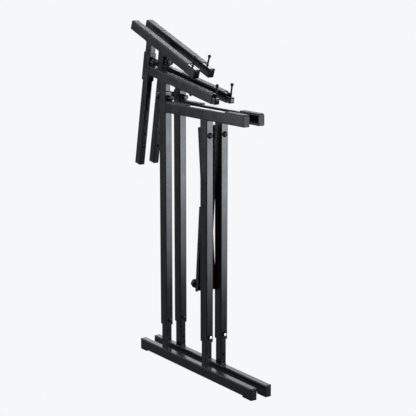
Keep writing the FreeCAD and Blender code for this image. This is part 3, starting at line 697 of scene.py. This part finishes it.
# %% Hexagons
def hexagon(across_flats, start, end):
    """r = min(r, (w/2)/cos b) between start and end, b within 30 degrees of a flat."""
    def shape(x, r, a):
        b = (a + np.pi / 6) % (np.pi / 3) - np.pi / 6
        flat = across_flats / 2 / np.cos(b)
        inside = (x >= start - 1e-6) & (x <= end + 1e-6)
        return np.where(inside, np.minimum(r, flat), r * np.ones_like(a))
    return shape


def bolt_and_nut(start, nut_at, head=()):
    """A shank along +Y and a chamfered lock nut with the ring of its nylon insert."""
    line = [*head, (0.0, 4.0), (nut_at, 4.0), (nut_at, 6.4), (nut_at + 0.5, 7.0),
            (nut_at + 4.2, 7.0), (nut_at + 4.6, 6.2), (nut_at + 4.7, 5.6), (nut_at + 5.7, 5.4),
            (nut_at + 6.0, 4.6), (nut_at + 5.5, 4.2), (nut_at + 5.9, 3.4), (nut_at + 5.9, 0)]
    profile = softened(line, 0.15, 3)
    return turned(profile, start, Y_AXIS, 72, hexagon(12.2, nut_at, nut_at + 4.65))


cap_profile = softened([(0, 0), (0, 8.5), (1.1, 8.5), (1.5, 7.9), (3.4, 7.5), (5.0, 5.8),
                        (5.8, 3.0), (6.0, 0)], 0.9)
spacer_profile = softened([(0, 3.5), (0, 9.0), (13.3, 9.0), (13.3, 3.5)], 0.5)
for side, x0 in SIDES:
    front = np.array([x0 / mm, FRONT_Y - HALF_DEPTH, BOLT_Z])
    # the right bolt is longer by its spacer
    nut_at = 42.6 if side == "left" else 55.9
    grids = [bolt_and_nut(front, nut_at, head=[(0.0, 0.0)])]
    if side == "right":
        grids.append(turned(spacer_profile, front + (0, 2 * HALF_DEPTH, 0), Y_AXIS, 48))
    make_piece(f"{side}_pivot_bolt", grids, black_oxide, f"{side}_frame",
               [f"{side}_beam_bolt"])
    cap = turned(cap_profile, front, -Y_AXIS, 64)
    make_piece(f"{side}_bolt_cap", [cap], polypropylene, f"{side}_frame",
               [f"{side}_beam_bolt"])

button = [(-2.8, 0), (-2.8, 2.3), (-4.8, 2.4), (-4.8, 3.8), (-3.4, 5.7), (-1.2, 6.5), (0, 6.5)]
knuckle = bolt_and_nut((0.0, -58.718, 265.0), 34.6, head=button)
make_piece("knuckle_bolt_button", [knuckle], black_oxide, "left_beam_half",
           ["knuckle_bolt"])
print("cap profile points:", len(cap_profile))

# %% [markdown]
# ## Weld beads
#
# The tubes are joined by short fillet welds, ground nowhere, so each joint has
# a rippled bead under the paint. A bead is a ring of circles carried round the
# joint's outline. Its radius swells and drops every 2.4 mm, like a row of
# overlapping scales.

# %% Bead surface
def joint_outline(half_u, half_v, corner, pitch=0.45):
    """Points a pitch apart on a rectangle with round corners, with outward normals."""
    a = np.linspace(0, np.pi / 2, 8)
    quarter = np.stack([np.cos(a), np.sin(a)], axis=-1)
    turn = np.arange(4)[:, None] * np.pi / 2 + a
    normal = np.stack([np.cos(turn), np.sin(turn)], axis=-1).reshape(-1, 2)
    signs = np.sign(np.stack([np.cos(turn[:, 3]), np.sin(turn[:, 3])], axis=-1))
    middle = np.repeat(signs * [half_u - corner, half_v - corner], len(quarter), axis=0)
    path = np.concatenate([middle + corner * normal, (middle + corner * normal)[:1]])
    normal = np.concatenate([normal, normal[:1]])
    run = np.concatenate([[0], np.cumsum(np.linalg.norm(np.diff(path, axis=0), axis=1))])
    s = np.linspace(0, run[-1], int(run[-1] / pitch), endpoint=False)
    sample = [np.interp(s, run, column) for column in (*path.T, *normal.T)]
    return s, np.stack(sample[:2], axis=-1), np.stack(sample[2:], axis=-1)


def bead(centre, v_axis, half_u, half_v, radius=1.5, corner=2.5, scale=2.4):
    """P(s, b) = c(s) + w(s)(n cos b + m sin b), w = radius (0.82 + 0.18 sqrt(1 - (2f - 1)^2))."""
    s, place, normal = joint_outline(half_u, half_v, corner)
    f = (s / scale) % 1.0
    w = radius * (0.82 + 0.18 * np.sqrt(1 - (2 * f - 1) ** 2))
    b = np.linspace(0, 2 * np.pi, 12, endpoint=False)
    v = unit(v_axis)
    m = np.cross(X_AXIS, v)
    path = np.asarray(centre, float) + place[:, :1] * X_AXIS + place[:, 1:] * v
    out = normal[:, :1] * X_AXIS + normal[:, 1:] * v
    ring = out[:, None] * np.cos(b)[None, :, None] + m * np.sin(b)[None, :, None]
    return path[:, None] + w[:, None, None] * ring


# %% The joints of each side frame
def welds_of(x):
    """Body -> beads, for the side frame in the plane x."""
    across = np.array([x, 0, 0])
    posts = [bead((x, y, FOOT_TOP), Y_AXIS, 9.3, 13.8) for y in (FRONT_Y, REAR_Y)]
    bosses = [bead((x, REAR_Y + y, TIER_LOCK_Z), Z_AXIS, 7.3, 7.3, 1.0, 7.25)
              for y in (-HALF_DEPTH, HALF_DEPTH)]
    frame_beads = [bead((x, FRONT_Y, 743.8), Y_AXIS, 10.5, 16.2, 1.4),
                   bead((x, 113.6, 759.0), Z_AXIS, 10.1, 15.1, 1.5), *bosses]
    second_beads = [
        bead(across + on_arm(SECOND, 0.0, 240.0, 0.0), SECOND[1], 9.2, 13.9, 1.4),
        bead(across + on_arm(SLEEVE, 0.0, -16.2, 13.4), SLEEVE[2], 10.1, 13.7, 1.4),
        bead(across + on_arm(SLEEVE, 0.0, -HALF_DEPTH, 40.5), SLEEVE[2], 7.3, 7.3, 1.0, 7.25)]
    third_beads = [bead(across + on_arm(THIRD, 0.0, 240.0, 0.0), THIRD[1], 9.2, 13.9, 1.4)]
    return {"base": posts, "frame": frame_beads, "second_tier": second_beads,
            "third_tier": third_beads}


for side, x0 in SIDES:
    for body, beads in welds_of(x0 / mm).items():
        weld = make_piece(f"{side}_{body}_welds", beads, coat, f"{side}_{body}",
                          loop=True, sharp=60.0)
print("weld faces on the last body:", len(weld.data.polygons))

# %% [markdown]
# ## Finishes for the solids that stay
#
# The tubes, caps and plugs have their right shape already. Each keeps its mesh
# and gets its material: paint on the outside pieces, rubbed paint on the posts
# that slide, and plastic on the caps, plugs and guides.

# %% Paint the frame
FINISHES = (
    (coat, ("foot", "front_upright", "rear_upright", "lower_arm", "second_arm", "second_sleeve",
            "third_arm", "second_stop", "third_stop", "beam_lock_channel", "beam")),
    (slid_coat, ("front_inner_post", "rear_inner_post", "second_post", "third_post")),
    (polypropylene, ("foot_caps", "frame_inserts", "third_plugs")),
)
finish_of = {name: material for material, names in FINISHES for name in names}
for node, solid in frame["nodes"].items():
    # nylon is for what is left, and those solids are all replaced above
    sideless = node.removeprefix("left_").removeprefix("right_")
    material = finish_of.get(sideless, nylon)
    if not solid.material_slots:
        solid.data.materials.append(material)
    for slot in solid.material_slots:
        slot.material = material
print("painted", sum(not solid.hide_render for solid in frame["nodes"].values()), "solids")
